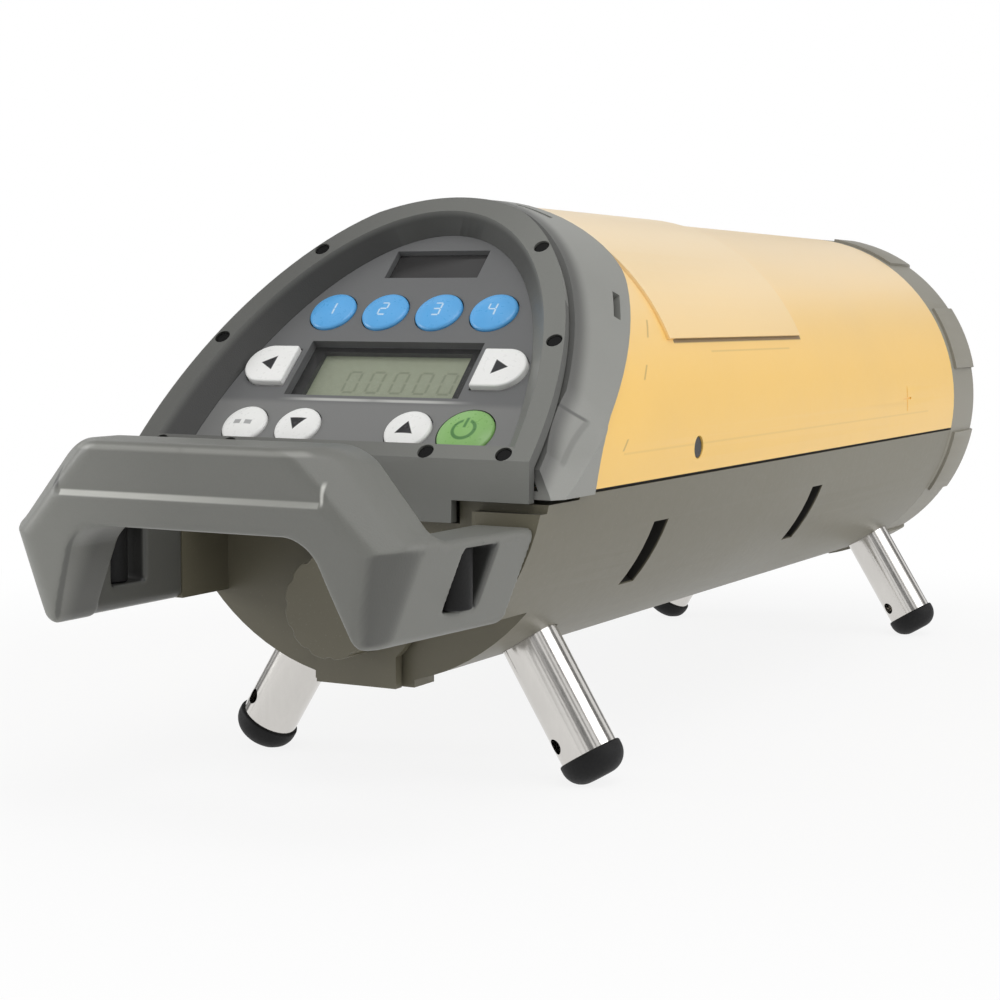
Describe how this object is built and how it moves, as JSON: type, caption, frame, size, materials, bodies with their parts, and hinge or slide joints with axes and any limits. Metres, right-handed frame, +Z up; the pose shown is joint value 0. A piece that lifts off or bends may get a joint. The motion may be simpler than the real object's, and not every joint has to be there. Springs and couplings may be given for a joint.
{
  "type": "pipe laser",
  "caption": "Levelling laser in a round body with a sloping keypad, a carrying handle and screw-in legs, which sends a beam along a pipe at a set line and grade.",
  "frame": {"origin": "on the floor, under the middle of the object's length and width", "axes": "+Y the way the beam leaves, -Y the control end, +Z up, +X right seen from the control end"},
  "size_m": [0.126, 0.436, 0.1506],
  "materials": {
    "grey_plastic": "fine moulded grain, satin",
    "lower_paint": "satin paint over a casting",
    "yellow_paint": "smooth satin paint",
    "black_rubber": "matt",
    "black_screw": "blackened",
    "panel_face": "fine grain",
    "dark_window": "dark red filter, glossy",
    "display_glass": "clear",
    "lcd": "grey green glass in a black frame",
    "board": "solder mask",
    "blue_key": "glossy dome",
    "white_key": "glossy dome",
    "green_key": "glossy dome",
    "strap_black": "moulded",
    "leg_metal": "turned and polished",
    "brass": "turned",
    "bare_aluminium": "milled",
    "black_anodised": "black anodised",
    "steel": "plated",
    "clear_glass": "coated, clear",
    "cell_wrap": "plain wrap",
    "dark_plastic": "moulded"
  },
  "bodies": {
    "housing": {"lower_housing": "lower_paint", "leg_bushes": "brass", "top_cover": "yellow_paint", "cover_gasket": "black_rubber", "cover_screws": "black_screw", "control_housing": "grey_plastic", "panel_frame": "grey_plastic", "frame_screws": "black_screw", "control_panel": "panel_face", "sensor_window": "dark_window", "display_window": "display_glass", "lcd_module": "lcd", "keypad_mat": "black_rubber", "display_board": "board", "handle": "grey_plastic", "handle_screws": "black_screw", "strap_posts": "strap_black", "front_cap": "grey_plastic", "cap_screws": "black_screw", "window_seal": "black_rubber", "window_glass": "clear_glass", "window_bezel": "black_anodised", "battery_sleeve": "dark_plastic", "chassis": "bare_aluminium", "main_board": "board", "line_bearing": "brass", "line_motor": "steel"},
    "battery": {"battery_holder": "lower_paint", "battery_cells": "cell_wrap", "battery_contact": "brass", "battery_seal": "black_rubber"},
    "lock_knob": {"lock_knob": "lower_paint"},
    "line_stage": {"line_yoke": "bare_aluminium", "grade_motor": "steel", "level_sensor": "dark_plastic"},
    "line_pinion": {"line_pinion": "brass"},
    "grade_stage": {"laser_barrel": "black_anodised", "grade_sector": "brass", "laser_diode": "brass", "collimator_lens": "clear_glass"},
    "grade_pinion": {"grade_pinion": "steel"},
    "leg_rear_left": {"leg_rear_left": "leg_metal", "foot_rear_left": "black_rubber"},
    "leg_rear_right": {"leg_rear_right": "leg_metal", "foot_rear_right": "black_rubber"},
    "leg_front_left": {"leg_front_left": "leg_metal", "foot_front_left": "black_rubber"},
    "leg_front_right": {"leg_front_right": "leg_metal", "foot_front_right": "black_rubber"},
    "function_key_1": {"function_key_1": "blue_key"},
    "function_key_2": {"function_key_2": "blue_key"},
    "function_key_3": {"function_key_3": "blue_key"},
    "function_key_4": {"function_key_4": "blue_key"},
    "left_key": {"left_key": "white_key"},
    "right_key": {"right_key": "white_key"},
    "mode_key": {"mode_key": "white_key"},
    "down_key": {"down_key": "white_key"},
    "up_key": {"up_key": "white_key"},
    "power_key": {"power_key": "green_key"}
  },
  "joints": [
    {"name": "function_key_1_press", "type": "slide", "parent": "housing", "child": "function_key_1", "axis": [0, 0.6947, -0.7193], "range_m": [0, 0.0012], "stiffness_N_per_m": 600, "springref_m": -0.0005},
    {"name": "function_key_2_press", "type": "slide", "parent": "housing", "child": "function_key_2", "axis": [0, 0.6947, -0.7193], "range_m": [0, 0.0012], "stiffness_N_per_m": 600, "springref_m": -0.0005},
    {"name": "function_key_3_press", "type": "slide", "parent": "housing", "child": "function_key_3", "axis": [0, 0.6947, -0.7193], "range_m": [0, 0.0012], "stiffness_N_per_m": 600, "springref_m": -0.0005},
    {"name": "function_key_4_press", "type": "slide", "parent": "housing", "child": "function_key_4", "axis": [0, 0.6947, -0.7193], "range_m": [0, 0.0012], "stiffness_N_per_m": 600, "springref_m": -0.0005},
    {"name": "left_key_press", "type": "slide", "parent": "housing", "child": "left_key", "axis": [0, 0.6947, -0.7193], "range_m": [0, 0.0012], "stiffness_N_per_m": 600, "springref_m": -0.0005},
    {"name": "right_key_press", "type": "slide", "parent": "housing", "child": "right_key", "axis": [0, 0.6947, -0.7193], "range_m": [0, 0.0012], "stiffness_N_per_m": 600, "springref_m": -0.0005},
    {"name": "mode_key_press", "type": "slide", "parent": "housing", "child": "mode_key", "axis": [0, 0.6947, -0.7193], "range_m": [0, 0.0012], "stiffness_N_per_m": 600, "springref_m": -0.0005},
    {"name": "down_key_press", "type": "slide", "parent": "housing", "child": "down_key", "axis": [0, 0.6947, -0.7193], "range_m": [0, 0.0012], "stiffness_N_per_m": 600, "springref_m": -0.0005},
    {"name": "up_key_press", "type": "slide", "parent": "housing", "child": "up_key", "axis": [0, 0.6947, -0.7193], "range_m": [0, 0.0012], "stiffness_N_per_m": 600, "springref_m": -0.0005},
    {"name": "power_key_press", "type": "slide", "parent": "housing", "child": "power_key", "axis": [0, 0.6947, -0.7193], "range_m": [0, 0.0012], "stiffness_N_per_m": 600, "springref_m": -0.0005},
    {"name": "leg_rear_left_out", "type": "slide", "parent": "housing", "child": "leg_rear_left", "axis": [-0.5225, 0, -0.8526], "range_m": [0, 0.012]},
    {"name": "leg_rear_right_out", "type": "slide", "parent": "housing", "child": "leg_rear_right", "axis": [0.5225, 0, -0.8526], "range_m": [0, 0.012]},
    {"name": "leg_front_left_out", "type": "slide", "parent": "housing", "child": "leg_front_left", "axis": [-0.5225, 0, -0.8526], "range_m": [0, 0.012]},
    {"name": "leg_front_right_out", "type": "slide", "parent": "housing", "child": "leg_front_right", "axis": [0.5225, 0, -0.8526], "range_m": [0, 0.012]},
    {"name": "battery_slide", "type": "slide", "parent": "housing", "child": "battery", "axis": [0, -1, 0], "range_m": [0, 0.2]},
    {"name": "lock_turn", "type": "hinge", "parent": "battery", "child": "lock_knob", "pos_m": [0, -0.15, 0.04767], "axis": [0, 1, 0], "range_deg": [0, 90]},
    {"name": "line_turn", "type": "hinge", "parent": "housing", "child": "line_stage", "pos_m": [0, 0.124, 0.08767], "axis": [0, 0, 1], "range_deg": [-10, 10]},
    {"name": "line_pinion_spin", "type": "hinge", "parent": "housing", "child": "line_pinion", "pos_m": [-0.0424, 0.124, 0.08767], "axis": [0, 0, 1], "range_deg": [-57, 57]},
    {"name": "grade_tilt", "type": "hinge", "parent": "line_stage", "child": "grade_stage", "pos_m": [0, 0.124, 0.08767], "axis": [1, 0, 0], "range_deg": [-8.5, 21.8]},
    {"name": "grade_pinion_spin", "type": "hinge", "parent": "line_stage", "child": "grade_pinion", "pos_m": [0, 0.124, 0.11767], "axis": [1, 0, 0], "range_deg": [-88, 35]}
  ],
  "couplings": [
    {"joint": "line_pinion_spin", "follows": "line_turn", "ratio": -5.625},
    {"joint": "grade_pinion_spin", "follows": "grade_tilt", "ratio": -4}
  ]
}
